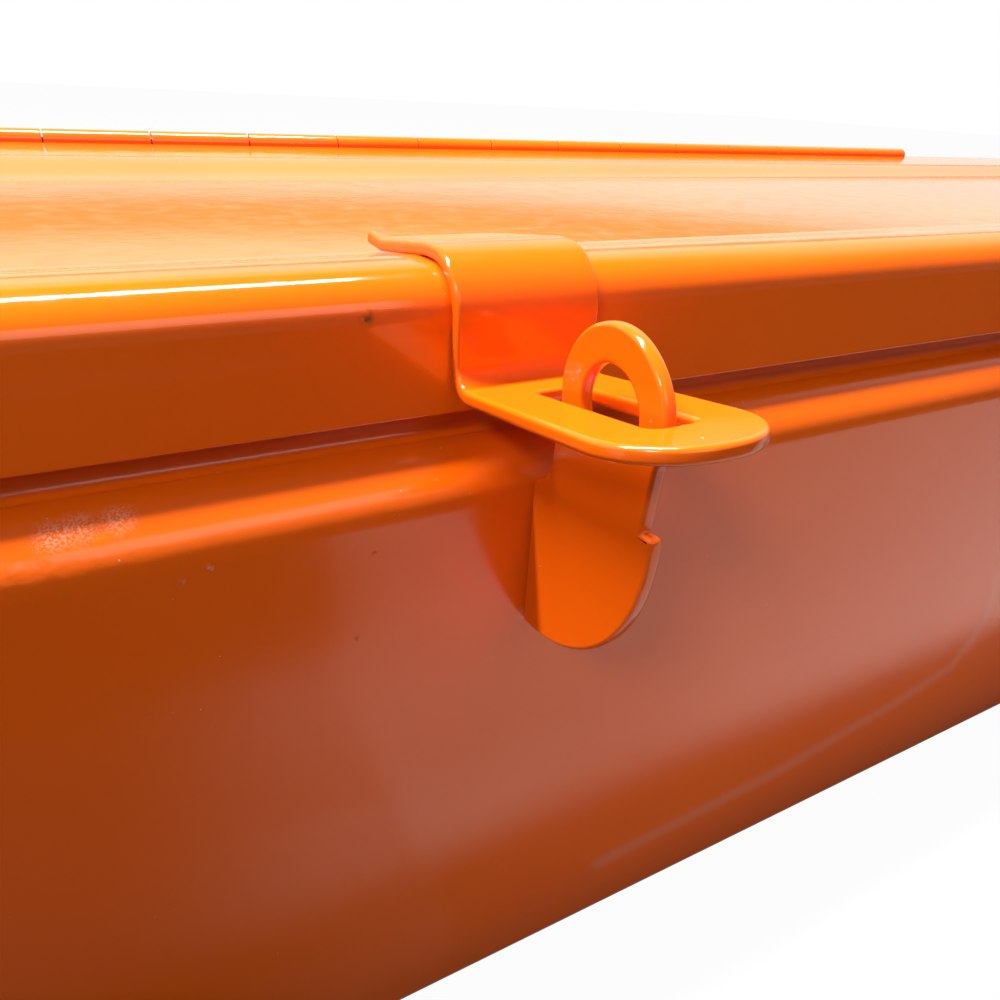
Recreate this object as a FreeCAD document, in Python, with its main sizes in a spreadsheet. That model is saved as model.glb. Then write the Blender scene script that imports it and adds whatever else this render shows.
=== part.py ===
import FreeCAD, Part
import Sketcher

import math
import os
from types import SimpleNamespace

# Long lockable steel toolbox, closed. The origin is the centre of the underside, +X runs along
# the length, the front faces -Y and +Z is up. Lengths are millimetres and angles are degrees.

DRIVING_SIZES = {
    # Body with its base plate
    "body_depth": 168.0,
    "body_proud": 5.8,
    "body_sheet": 1.0,
    "shoulder_height": 92.2,
    "shoulder_radius": 4.0,
    "base_sheet": 1.0,
    "rim_height": 107.1,
    # Pressed lid
    "lid_height": 110.5,
    "lid_length": 680.0,
    "lid_sheet": 1.0,
    "lid_skirt_depth": 15.0,
    "lid_side_gap": 0.6,
    "lid_fold_radius": 5.0,
    "lid_corner_radius": 25.0,
    "lid_rear_overhang": 1.5,
    "dish_depth": 2.6,
    "dish_land": 7.0,
    "dish_slope_width": 18.0,
    "dish_corner_radius": 20.0,
    "dish_rear_land": 34.0,
    # Rib under the lid
    "rib_length": 560.0,
    "rib_crown_width": 16.0,
    "rib_foot_width": 9.0,
    "rib_height": 9.0,
    "rib_sheet": 0.8,
    # Continuous hinge
    "hinge_offset": 4.5,
    "knuckle_pitch": 23.46,
    "knuckle_gap": 0.3,
    "leaf_sheet": 1.2,
    "lid_leaf_width": 24.0,
    "body_leaf_foot_gap": 2.7,
    "pin_radius": 1.25,
    "pin_clearance": 0.05,
    "barrel_gap": 0.3,
    # Hasp strap on the lid
    "hasp_width": 17.6,
    "hasp_sheet": 1.6,
    "hasp_gap": 0.15,
    "hasp_flap_reach": 24.0,
    "hasp_bend_drop": 9.5,
    "hasp_bend_radius": 2.0,
    "tongue_tilt": 9.6,
    "tongue_length": 29.5,
    "tongue_corner_radius": 8.2,
    "slot_start": 4.0,
    "slot_length": 19.1,
    "slot_width": 5.4,
    "slot_corner_radius": 1.2,
    # Staple on the body
    "staple_sheet": 1.6,
    "eye_reach": 12.05,
    "eye_height": 100.9,
    "eye_ring_radius": 8.25,
    "eye_radius": 4.45,
    "neck_inner_reach": 3.0,
    "neck_outer_reach": 19.0,
    "foot_radius": 20.8,
    "foot_centre_height": 89.5,
    "foot_tip_height": 91.4,
    "foot_notch_height": 90.2,
    "foot_wall_height": 88.1,
    "neck_overlap": 0.3,
    "weld_leg": 1.2,
    # Drop handles on the ends
    "handle_height": 66.0,
    "handle_plate_length": 90.0,
    "handle_plate_height": 28.0,
    "handle_plate_sheet": 1.6,
    "handle_plate_corner": 6.0,
    "ear_length": 10.0,
    "ear_centre": 32.0,
    "ear_wall": 1.6,
    "bail_radius": 3.5,
    "bail_clearance": 0.08,
    "bail_span": 96.0,
    "bail_drop": 40.0,
    "bail_bend_radius": 8.0,
    "bail_end_overrun": 1.0,
    "rivet_radius": 2.4,
    "rivet_head_radius": 3.6,
    "rivet_head_height": 1.6,
    "rivet_row_half": 18.0,
    "rivet_column_half": 8.5,
    "doubler_length": 56.0,
    "doubler_height": 30.0,
    "doubler_sheet": 1.5,
    "cut_overrun": 5.0,
}

KNUCKLE_COUNT = 22
SMALL_ROUND_SIDES = 10
BAIL_SIDES = 8
# Flats that stand for each quarter bend of the drop handles
BEND_STEPS = 3
# Two places closer than this, in millimetres, are taken as one
SAME_PLACE = 1e-4


class Size:
    """A size with its value and with the same sum as an expression of the sheet's cells."""

    def __init__(self, value, text):
        self.value = value
        self.text = text

    def _join(self, other, sign, result):
        other_text = other.text if isinstance(other, Size) else repr(other)
        return Size(result, "(" + self.text + " " + sign + " " + other_text + ")")

    def __add__(self, other):
        return self._join(other, "+", self.value + number(other))

    def __sub__(self, other):
        return self._join(other, "-", self.value - number(other))

    def __mul__(self, other):
        return self._join(other, "*", self.value * number(other))

    def __truediv__(self, other):
        return self._join(other, "/", self.value / number(other))

    def __neg__(self):
        return Size(-self.value, "(0 - " + self.text + ")")


def number(size):
    return size.value if isinstance(size, Size) else size


def sine(angle):
    return Size(math.sin(math.radians(angle.value)), "sin(" + angle.text + " * 1 deg)")


def cosine(angle):
    return Size(math.cos(math.radians(angle.value)), "cos(" + angle.text + " * 1 deg)")


def root(size):
    return Size(math.sqrt(size.value), "sqrt(" + size.text + ")")


doc = FreeCAD.newDocument("Toolbox")
sheet = doc.addObject("Spreadsheet::Sheet", "Sizes")
for row, (alias, value) in enumerate(DRIVING_SIZES.items(), start=1):
    sheet.set("A" + str(row), alias.replace("_", " "))
    sheet.set("B" + str(row), str(value))
    sheet.setAlias("B" + str(row), alias)
doc.recompute()
size = SimpleNamespace(**{alias: Size(value, "Sizes." + alias) for alias, value in DRIVING_SIZES.items()})
ZERO = Size(0.0, "0")

# Places that several pieces share, worked out from the driving sizes
body_half_length = size.lid_length / 2 + size.body_proud
body_half_depth = size.body_depth / 2
skirt_front = size.body_proud - body_half_depth
neck_inset = size.body_proud + size.lid_sheet + size.lid_side_gap
neck_half_length = body_half_length - neck_inset
neck_half_depth = body_half_depth - neck_inset
neck_corner_radius = size.lid_corner_radius - size.lid_sheet - size.lid_side_gap
lid_half_length = size.lid_length / 2
lid_top = size.lid_height
lid_underside = lid_top - size.lid_sheet
skirt_bottom = lid_top - size.lid_skirt_depth
knuckle_bore = size.pin_radius + size.pin_clearance
barrel_radius = knuckle_bore + size.leaf_sheet
hinge_y = neck_half_depth + size.leaf_sheet - barrel_radius
hinge_z = lid_underside - size.leaf_sheet + barrel_radius
hinge_half_length = size.knuckle_pitch * KNUCKLE_COUNT / 2
hinge_start = size.hinge_offset - hinge_half_length
lid_rear = hinge_y + size.lid_rear_overhang
pivot_reach = size.handle_plate_sheet + size.bail_radius + size.bail_clearance + size.ear_wall


def bind(item, properties):
    """Ties the named properties of an object to the sheet."""
    for name, value in properties.items():
        item.setExpression(name, value.text)


def new_body(label):
    body = doc.addObject("PartDesign::Body", label)
    body.Label = label
    return body


def new_sketch(body, name, role, offset=ZERO):
    """A sketch on one of the body's own origin planes, moved along the plane's normal."""
    sketch = body.newObject("Sketcher::SketchObject", body.Name + "_" + name)
    plane = next(item for item in body.Origin.OriginFeatures if item.Role == role)
    sketch.AttachmentSupport = (plane, [""])
    sketch.MapMode = "FlatFace"
    sketch.AttachmentOffset = FreeCAD.Placement(FreeCAD.Vector(0, 0, offset.value), FreeCAD.Rotation())
    sketch.setExpression("AttachmentOffset.Base.z", offset.text)
    return sketch


def tie(sketch, kind, geometry, point, value):
    """One bound dimension: a coordinate of a point, or a radius where no point is given."""
    if point is None:
        index = sketch.addConstraint(Sketcher.Constraint(kind, geometry, value.value))
    else:
        index = sketch.addConstraint(Sketcher.Constraint(kind, geometry, point, value.value))
    sketch.setExpression("Constraints[" + str(index) + "]", value.text)


def vector(point):
    return FreeCAD.Vector(point[0].value, point[1].value, 0)


def outline(sketch, corners):
    """A closed outline. A corner is x, y and, where an arc leaves it, the arc's radius and centre."""
    first = sketch.GeometryCount
    count = len(corners)
    for index, corner in enumerate(corners):
        start = vector(corner)
        end = vector(corners[(index + 1) % count])
        if len(corner) == 2:
            sketch.addGeometry(Part.LineSegment(start, end), False)
            continue
        centre = vector(corner[3:])
        middle = (start + end) * 0.5 - centre
        middle.normalize()
        sketch.addGeometry(Part.Arc(start, centre + middle * corner[2].value, end), False)
    for index, corner in enumerate(corners):
        # An arc turning clockwise was stored the other way round, so its ends are looked up.
        piece = first + index
        near = 1
        if len(corner) > 2 and sketch.getPoint(piece, 2).sub(vector(corner)).Length < SAME_PLACE:
            near = 2
        following = first + (index + 1) % count
        next_corner = corners[(index + 1) % count]
        next_near = 1
        if len(next_corner) > 2 and sketch.getPoint(following, 2).sub(vector(next_corner)).Length < SAME_PLACE:
            next_near = 2
        sketch.addConstraint(Sketcher.Constraint("Coincident", piece, 3 - near, following, next_near))
        tie(sketch, "DistanceX", piece, near, corner[0])
        tie(sketch, "DistanceY", piece, near, corner[1])
        if len(corner) > 2:
            tie(sketch, "Radius", piece, None, corner[2])


def rectangle(sketch, left, bottom, right, top):
    outline(sketch, [(left, bottom), (right, bottom), (right, top), (left, top)])


def rounded_rectangle(sketch, left, bottom, right, top, radius):
    """A rectangle whose corners are quarter circles of one radius."""
    outline(sketch, [
        (left, bottom + radius, radius, left + radius, bottom + radius),
        (left + radius, bottom),
        (right - radius, bottom, radius, right - radius, bottom + radius),
        (right, bottom + radius),
        (right, top - radius, radius, right - radius, top - radius),
        (right - radius, top),
        (left + radius, top, radius, left + radius, top - radius),
        (left, top - radius),
    ])


def circle(sketch, x, y, radius):
    index = sketch.addGeometry(Part.Circle(vector((x, y)), FreeCAD.Vector(0, 0, 1), radius.value), False)
    tie(sketch, "DistanceX", index, 3, x)
    tie(sketch, "DistanceY", index, 3, y)
    tie(sketch, "Radius", index, None, radius)


def small_round(sketch, x, y, radius, around=False, sides=SMALL_ROUND_SIDES):
    """A small round drawn with flats, whose corners lie on the radius, or whose flats do, around it."""
    half_turn = math.pi / sides
    reach = radius / math.cos(half_turn) if around else radius
    outline(sketch, [
        (x + reach * math.cos(half_turn * (2 * side + 1)), y + reach * math.sin(half_turn * (2 * side + 1)))
        for side in range(sides)
    ])


def pad(body, name, sketch, length):
    feature = body.newObject("PartDesign::Pad", body.Name + "_" + name)
    feature.Profile = sketch
    bind(feature, {"Length": length})
    sketch.Visibility = False
    doc.recompute()
    return feature


def pocket(body, name, sketch, length=None, towards_normal=False):
    """A cut along or against the sketch's normal; with no length it goes through everything."""
    before = body.Tip.Shape.Volume
    feature = body.newObject("PartDesign::Pocket", body.Name + "_" + name)
    feature.Profile = sketch
    feature.Reversed = towards_normal
    if length is None:
        feature.Type = "ThroughAll"
    else:
        bind(feature, {"Length": length})
    doc.recompute()
    if feature.Shape.Volume >= before:
        raise RuntimeError(feature.Name + " removes nothing")
    return feature


def round_edges(body, name, radius, chosen):
    """Fillets the edges of the body's latest shape that the test picks."""
    base = body.Tip
    edges = ["Edge" + str(index) for index, edge in enumerate(base.Shape.Edges, start=1) if chosen(edge)]
    feature = body.newObject("PartDesign::Fillet", body.Name + "_" + name)
    feature.Base = (base, edges)
    bind(feature, {"Radius": radius})
    doc.recompute()
    return feature


def bevel_edges(body, name, width, chosen):
    """Chamfers the edges of the body's latest shape that the test picks."""
    base = body.Tip
    edges = ["Edge" + str(index) for index, edge in enumerate(base.Shape.Edges, start=1) if chosen(edge)]
    feature = body.newObject("PartDesign::Chamfer", body.Name + "_" + name)
    feature.Base = (base, edges)
    bind(feature, {"Size": width})
    doc.recompute()
    return feature


def shell_inwards(body, name, thickness, opened):
    """Hollows the body's latest shape, leaving out the faces that the test picks."""
    base = body.Tip
    faces = ["Face" + str(index) for index, face in enumerate(base.Shape.Faces, start=1) if opened(face)]
    feature = body.newObject("PartDesign::Thickness", body.Name + "_" + name)
    feature.Base = (base, faces)
    feature.Reversed = True
    feature.Join = 0
    bind(feature, {"Value": thickness})
    doc.recompute()
    if feature.Shape.Volume >= base.Shape.Volume:
        raise RuntimeError(feature.Name + " is not hollow")
    return feature


def place(item, x=ZERO, y=ZERO, z=ZERO, turn=0):
    """Puts a finished piece in the box's frame, turned about the upright axis."""
    turned = FreeCAD.Rotation(FreeCAD.Vector(0, 0, 1), turn)
    item.Placement = FreeCAD.Placement(FreeCAD.Vector(x.value, y.value, z.value), turned)
    bind(item, {"Placement.Base.x": x, "Placement.Base.y": y, "Placement.Base.z": z})


def near(value, target):
    return abs(value - number(target)) < SAME_PLACE


def is_upright(edge):
    box = edge.BoundBox
    return near(box.XLength, 0) and near(box.YLength, 0) and not near(box.ZLength, 0)


def lies_at_height(edge, height):
    return near(edge.BoundBox.ZMin, height) and near(edge.BoundBox.ZMax, height)


def rivet_places():
    for along in (size.rivet_row_half, -size.rivet_row_half):
        for up in (size.rivet_column_half, -size.rivet_column_half):
            yield along, up


def make_body_shell():
    """Wall of the box in one piece: upright sides, a rounded shoulder and a set-in neck."""
    body = new_body("body_shell")
    walls = new_sketch(body, "walls", "XY_Plane")
    rounded_rectangle(walls, -body_half_length, -body_half_depth, body_half_length, body_half_depth,
                      size.lid_corner_radius + size.body_proud)
    pad(body, "lower", walls, size.shoulder_height)
    round_edges(body, "shoulder", size.shoulder_radius, lambda edge: lies_at_height(edge, size.shoulder_height))
    neck = new_sketch(body, "neck_plan", "XY_Plane", size.shoulder_height)
    rounded_rectangle(neck, -neck_half_length, -neck_half_depth, neck_half_length, neck_half_depth,
                      neck_corner_radius)
    pad(body, "neck", neck, size.rim_height - size.shoulder_height)
    shell_inwards(body, "hollow", size.body_sheet,
                  lambda face: near(face.BoundBox.ZMin, size.rim_height) or near(face.BoundBox.ZMax, 0))
    holes = new_sketch(body, "rivet_plan", "YZ_Plane", body_half_length + size.cut_overrun)
    for along, up in rivet_places():
        small_round(holes, along, size.handle_height + up, size.rivet_radius)
    pocket(body, "rivet_holes", holes)
    return body


def make_base_plate():
    """Flat bottom, welded in between the walls along its edge."""
    body = new_body("base_plate")
    plan = new_sketch(body, "plan", "XY_Plane")
    half_length = body_half_length - size.body_sheet
    half_depth = body_half_depth - size.body_sheet
    rounded_rectangle(plan, -half_length, -half_depth, half_length, half_depth,
                      size.lid_corner_radius + size.body_proud - size.body_sheet)
    pad(body, "sheet", plan, size.base_sheet)
    return body


def make_lid_shell():
    """Pressed lid: folded skirt on the front and ends, and a top panel dished inside a raised border."""
    body = new_body("lid_shell")
    plan = new_sketch(body, "plan", "XY_Plane", skirt_bottom)
    rectangle(plan, -lid_half_length, skirt_front, lid_half_length, lid_rear)
    pad(body, "block", plan, size.lid_skirt_depth)
    round_edges(body, "front_corners", size.lid_corner_radius,
                lambda edge: is_upright(edge) and near(edge.BoundBox.YMin, skirt_front))
    round_edges(body, "fold", size.lid_fold_radius,
                lambda edge: lies_at_height(edge, lid_top) and not near(edge.BoundBox.YMin, lid_rear))
    add_dish(body)
    shell_inwards(body, "hollow", size.lid_sheet,
                  lambda face: near(face.BoundBox.ZMax, skirt_bottom) or near(face.BoundBox.YMin, lid_rear))
    corner_start = lid_rear - size.lid_corner_radius
    ends = new_sketch(body, "skirt_end_plan", "XY_Plane", skirt_bottom - size.cut_overrun)
    rectangle(ends, -lid_half_length - size.cut_overrun, corner_start,
              lid_half_length + size.cut_overrun, lid_rear + size.cut_overrun)
    pocket(body, "skirt_ends", ends, size.cut_overrun + size.lid_skirt_depth - size.lid_fold_radius,
           towards_normal=True)
    corners = new_sketch(body, "rear_corner_plan", "XY_Plane", lid_top + size.cut_overrun)
    for side in (1, -1):
        edge_x = lid_half_length * side
        outside_x = (lid_half_length + size.cut_overrun) * side
        centre_x = (lid_half_length - size.lid_corner_radius) * side
        outline(corners, [
            (edge_x, corner_start, size.lid_corner_radius, centre_x, corner_start),
            (centre_x, lid_rear),
            (centre_x, lid_rear + size.cut_overrun),
            (outside_x, lid_rear + size.cut_overrun),
            (outside_x, corner_start),
        ])
    pocket(body, "rear_corners", corners)
    notch = new_sketch(body, "hinge_notch_plan", "XY_Plane", lid_top + size.cut_overrun)
    rectangle(notch, hinge_start - size.barrel_gap, hinge_y - barrel_radius - size.barrel_gap,
              size.hinge_offset + hinge_half_length + size.barrel_gap, lid_rear + size.cut_overrun)
    pocket(body, "hinge_notch", notch)
    return body


def dish_plan(sketch, inset):
    """One level of the dish: its edge lies the given inset inside the border's land."""
    reach_x = lid_half_length - size.dish_land - inset
    rounded_rectangle(sketch, -reach_x, skirt_front + size.dish_land + inset,
                      reach_x, lid_rear - size.dish_rear_land - inset, size.dish_corner_radius)


def add_dish(body):
    """Sinks the top panel below its border by a loft between two rounded rectangles."""
    upper = new_sketch(body, "dish_upper", "XY_Plane", lid_top)
    dish_plan(upper, ZERO)
    lower = new_sketch(body, "dish_lower", "XY_Plane", lid_top - size.dish_depth)
    dish_plan(lower, size.dish_slope_width)
    feature = body.newObject("PartDesign::SubtractiveLoft", body.Name + "_dish")
    feature.Profile = upper
    feature.Sections = [lower]
    feature.Ruled = True
    doc.recompute()
    return feature


def make_lid_rib():
    """Hat-section rib that stiffens the dished panel from below."""
    body = new_body("lid_rib")
    section = new_sketch(body, "section", "YZ_Plane", -size.rib_length / 2)
    top = lid_underside - size.dish_depth
    seat = top - size.rib_sheet
    crown = top - size.rib_height
    inner = size.rib_crown_width / 2
    outer = inner + size.rib_foot_width
    outline(section, [
        (-outer, seat), (-inner, seat), (-inner, crown), (inner, crown), (inner, seat), (outer, seat),
        (outer, top), (inner - size.rib_sheet, top), (inner - size.rib_sheet, crown + size.rib_sheet),
        (size.rib_sheet - inner, crown + size.rib_sheet), (size.rib_sheet - inner, top), (-outer, top),
    ])
    pad(body, "hat", section, size.rib_length)
    return body


def add_knuckles(body, first_index, strip):
    """Every second knuckle of the barrel, rolled from the leaf by the given strip, then bored."""
    start = hinge_start + size.knuckle_pitch * first_index + size.knuckle_gap / 2
    rolls = new_sketch(body, "roll", "YZ_Plane", start)
    small_round(rolls, hinge_y, hinge_z, barrel_radius, around=True)
    roll = pad(body, "knuckle", rolls, size.knuckle_pitch - size.knuckle_gap)
    strips = new_sketch(body, "strip", "YZ_Plane", start)
    rectangle(strips, *strip)
    tab = pad(body, "tab", strips, size.knuckle_pitch - size.knuckle_gap)
    rows = body.newObject("PartDesign::LinearPattern", body.Name + "_row")
    rows.Originals = [roll, tab]
    rows.Direction = (next(axis for axis in body.Origin.OriginFeatures if axis.Role == "X_Axis"), [""])
    rows.Occurrences = KNUCKLE_COUNT // 2
    bind(rows, {"Length": size.knuckle_pitch * (KNUCKLE_COUNT - 2)})
    body.Tip = rows
    doc.recompute()
    bore = new_sketch(body, "bore_plan", "YZ_Plane", hinge_start + hinge_half_length * 2 + size.cut_overrun)
    small_round(bore, hinge_y, hinge_z, knuckle_bore, around=True)
    pocket(body, "bore", bore)


def make_hinge_lid_leaf():
    """Leaf under the lid's rear border, rolled up round the pin."""
    body = new_body("hinge_lid_leaf")
    flat = new_sketch(body, "flat", "YZ_Plane", hinge_start + size.knuckle_gap / 2)
    notch_edge = hinge_y - barrel_radius - size.barrel_gap
    leaf_under = lid_underside - size.leaf_sheet
    rectangle(flat, hinge_y - size.lid_leaf_width, leaf_under, notch_edge, lid_underside)
    pad(body, "leaf", flat, hinge_half_length * 2 - size.knuckle_gap)
    add_knuckles(body, 0, (notch_edge, leaf_under, hinge_y, lid_underside))
    return body


def make_hinge_body_leaf():
    """Leaf on the outside of the rear neck, rolled forward round the pin."""
    body = new_body("hinge_body_leaf")
    flat = new_sketch(body, "flat", "YZ_Plane", hinge_start + size.knuckle_gap / 2)
    notch_edge = hinge_z - barrel_radius - size.barrel_gap
    leaf_outside = neck_half_depth + size.leaf_sheet
    foot = size.shoulder_height + size.body_leaf_foot_gap
    rectangle(flat, neck_half_depth, foot, leaf_outside, notch_edge)
    pad(body, "leaf", flat, hinge_half_length * 2 - size.knuckle_gap)
    add_knuckles(body, 1, (neck_half_depth, notch_edge, leaf_outside, hinge_z))
    return body


def make_hinge_pin():
    """One wire through every knuckle."""
    body = new_body("hinge_pin")
    section = new_sketch(body, "section", "YZ_Plane", hinge_start)
    circle(section, hinge_y, hinge_z, size.pin_radius)
    pad(body, "wire", section, hinge_half_length * 2)
    return body


def hasp_profile(sketch):
    """Side view of the bent strap, as distances behind the skirt's face and above the lid's top."""
    gap = size.hasp_gap
    sheet_and_gap = size.hasp_sheet + gap
    slope = size.dish_depth / size.dish_slope_width
    slope_length = root(size.dish_depth * size.dish_depth + size.dish_slope_width * size.dish_slope_width)
    half_tangent = size.dish_depth / (slope_length + size.dish_slope_width)
    tilt_sine = sine(size.tongue_tilt)
    tilt_cosine = cosine(size.tongue_tilt)
    bend_out = size.hasp_bend_radius + size.hasp_sheet
    centre_y = -gap - bend_out
    fold = size.lid_fold_radius

    def world(back, up):
        return skirt_front + back, lid_top + up

    def on_tongue(along, depth):
        """A point of the tongue: along it from its bend, and down from the bend's centre."""
        return world(centre_y - tilt_cosine * along - tilt_sine * depth,
                     tilt_sine * along - tilt_cosine * depth - size.hasp_bend_drop)

    def over_slope(back, lift):
        return world(back + lift * size.dish_depth / slope_length,
                     lift * size.dish_slope_width / slope_length - (back - size.dish_land) * slope)

    fold_centre = world(fold, -fold)
    bend_centre = world(centre_y, -size.hasp_bend_drop)
    outline(sketch, [
        over_slope(size.hasp_flap_reach, gap),
        over_slope(size.hasp_flap_reach, sheet_and_gap),
        world(size.dish_land + sheet_and_gap * half_tangent, sheet_and_gap),
        world(fold, sheet_and_gap) + (fold + sheet_and_gap,) + fold_centre,
        world(-sheet_and_gap, -fold),
        world(-sheet_and_gap, -size.hasp_bend_drop) + (size.hasp_bend_radius,) + bend_centre,
        on_tongue(ZERO, size.hasp_bend_radius),
        on_tongue(size.tongue_length, size.hasp_bend_radius),
        on_tongue(size.tongue_length, bend_out),
        on_tongue(ZERO, bend_out) + (bend_out,) + bend_centre,
        world(-gap, -size.hasp_bend_drop),
        world(-gap, -fold) + (fold + gap,) + fold_centre,
        world(fold, gap),
        world(size.dish_land + gap * half_tangent, gap),
    ])


def make_hasp_plate():
    """Strap spot-welded over the lid's front edge, bent out into a slotted tongue."""
    body = new_body("hasp_plate")
    side = new_sketch(body, "side", "YZ_Plane", -size.hasp_width / 2)
    hasp_profile(side)
    pad(body, "strap", side, size.hasp_width)
    bend_back = size.hasp_gap + size.hasp_sheet + size.hasp_bend_radius
    tip = skirt_front - bend_back - size.tongue_length * cosine(size.tongue_tilt)
    round_edges(body, "tongue_end", size.tongue_corner_radius,
                lambda edge: near(edge.BoundBox.XLength, 0) and near(edge.Length, size.hasp_sheet)
                and edge.BoundBox.YMax < (tip + size.hasp_sheet).value)
    slot = new_sketch(body, "slot_plan", "XY_Plane", lid_top + size.cut_overrun)
    run = cosine(size.tongue_tilt)
    rear = skirt_front - bend_back - size.slot_start * run
    front = rear - size.slot_length * run
    rectangle(slot, -size.slot_width / 2, front, size.slot_width / 2, rear)
    pocket(body, "slot", slot, lid_top + size.cut_overrun - skirt_bottom + size.cut_overrun)
    half_slot = size.slot_width.value / 2
    round_edges(body, "slot_corners", size.slot_corner_radius,
                lambda edge: is_upright(edge) and near(abs(edge.BoundBox.XMin), half_slot))
    return body


def make_staple_plate():
    """Upright plate on the front wall: a quarter-round foot, a neck and a ring for the padlock."""
    body = new_body("staple_plate")
    wall = -body_half_depth
    start = -size.staple_sheet / 2
    foot = new_sketch(body, "foot_side", "YZ_Plane", start)
    tip_rise = size.foot_tip_height - size.foot_centre_height
    tip_reach = root(size.foot_radius * size.foot_radius - tip_rise * tip_rise)
    outline(foot, [
        (wall, size.foot_wall_height),
        (wall - size.neck_inner_reach, size.foot_notch_height),
        (wall - size.neck_outer_reach, size.foot_notch_height),
        (wall - size.neck_outer_reach, size.foot_tip_height),
        (wall - tip_reach, size.foot_tip_height, size.foot_radius, wall, size.foot_centre_height),
        (wall, size.foot_centre_height - size.foot_radius),
    ])
    pad(body, "foot", foot, size.staple_sheet)
    neck = new_sketch(body, "neck_side", "YZ_Plane", start)
    outline(neck, [
        (wall - size.neck_outer_reach, size.foot_notch_height - size.neck_overlap),
        (wall - size.neck_inner_reach, size.foot_notch_height - size.neck_overlap),
        (wall - size.eye_reach + size.eye_ring_radius, size.eye_height),
        (wall - size.eye_reach - size.eye_ring_radius, size.eye_height),
    ])
    pad(body, "neck", neck, size.staple_sheet)
    ring = new_sketch(body, "ring_side", "YZ_Plane", start)
    circle(ring, wall - size.eye_reach, size.eye_height, size.eye_ring_radius)
    pad(body, "ring", ring, size.staple_sheet)
    eye = new_sketch(body, "eye_side", "YZ_Plane", size.cut_overrun)
    circle(eye, wall - size.eye_reach, size.eye_height, size.eye_radius)
    pocket(body, "eye", eye)
    return body


def make_staple_weld():
    """Fillet weld along the foot of the staple, on its right side."""
    body = new_body("staple_weld")
    lowest = size.foot_centre_height - size.foot_radius + size.weld_leg
    section = new_sketch(body, "section", "XY_Plane", lowest)
    wall = -body_half_depth
    face = size.staple_sheet / 2
    outline(section, [(face, wall), (face + size.weld_leg, wall), (face, wall - size.weld_leg)])
    pad(body, "bead", section, size.foot_wall_height - lowest)
    return body


def make_handle_plate(label):
    """Pressed plate with two ears for the bail, in a frame whose +X leaves the wall."""
    body = new_body(label)
    plate = new_sketch(body, "plate_side", "YZ_Plane")
    half_length = size.handle_plate_length / 2
    half_height = size.handle_plate_height / 2
    rectangle(plate, -half_length, -half_height, half_length, half_height)
    pad(body, "plate", plate, size.handle_plate_sheet)
    round_edges(body, "corners", size.handle_plate_corner,
                lambda edge: near(edge.BoundBox.YLength, 0) and near(edge.BoundBox.ZLength, 0))
    ear_radius = size.bail_radius + size.bail_clearance + size.ear_wall
    for name, centre in (("front", -size.ear_centre), ("rear", size.ear_centre)):
        far_end = centre + size.ear_length / 2
        ear = new_sketch(body, name + "_ear_side", "XZ_Plane", -far_end)
        outline(ear, [
            (ZERO, -ear_radius),
            (pivot_reach, -ear_radius, ear_radius, pivot_reach, ZERO),
            (pivot_reach + ear_radius, ZERO, ear_radius, pivot_reach, ZERO),
            (pivot_reach, ear_radius),
            (ZERO, ear_radius),
        ])
        pad(body, name + "_ear", ear, size.ear_length)
    bore = new_sketch(body, "bore_side", "XZ_Plane", -half_length - size.cut_overrun)
    small_round(bore, pivot_reach, ZERO, size.bail_radius + size.bail_clearance, around=True)
    pocket(body, "bore", bore, size.handle_plate_length + size.cut_overrun * 2, towards_normal=True)
    holes = new_sketch(body, "rivet_plan", "YZ_Plane", size.handle_plate_sheet + size.cut_overrun)
    for along, up in rivet_places():
        small_round(holes, along, up, size.rivet_radius)
    pocket(body, "rivet_holes", holes)
    return body


def make_bail(label):
    """Bent round bar: its two ends turn in through the ears, in the handle plate's frame."""
    body = new_body(label)
    half = size.bail_span / 2
    bend = size.bail_bend_radius
    drop = -size.bail_drop
    inner_end = size.ear_centre - size.ear_length / 2 - size.bail_end_overrun
    path = new_sketch(body, "path", "YZ_Plane", pivot_reach)
    stations = [(-inner_end, ZERO)]
    for centre_y, centre_z, first_turn in (
        (bend - half, -bend, 90),
        (bend - half, drop + bend, 180),
        (half - bend, drop + bend, 270),
        (half - bend, -bend, 0),
    ):
        for step in range(BEND_STEPS + 1):
            angle = math.radians(first_turn + 90 * step / BEND_STEPS)
            stations.append((centre_y + bend * math.cos(angle), centre_z + bend * math.sin(angle)))
    stations.append((inner_end, ZERO))
    open_path(path, stations)
    section = new_sketch(body, "section", "XZ_Plane", inner_end)
    small_round(section, pivot_reach, ZERO, size.bail_radius, sides=BAIL_SIDES)
    pipe = body.newObject("PartDesign::AdditivePipe", body.Name + "_bar")
    pipe.Profile = section
    pipe.Spine = (path, [])
    pipe.Transition = "Right corner"
    doc.recompute()
    return body


def open_path(sketch, stations):
    """An open run of straight lines through the stations."""
    for index, station in enumerate(stations[:-1]):
        following = stations[index + 1]
        sketch.addGeometry(Part.LineSegment(vector(station), vector(following)), False)
        tie(sketch, "DistanceX", index, 1, station[0])
        tie(sketch, "DistanceY", index, 1, station[1])
        tie(sketch, "DistanceX", index, 2, following[0])
        tie(sketch, "DistanceY", index, 2, following[1])


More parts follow.
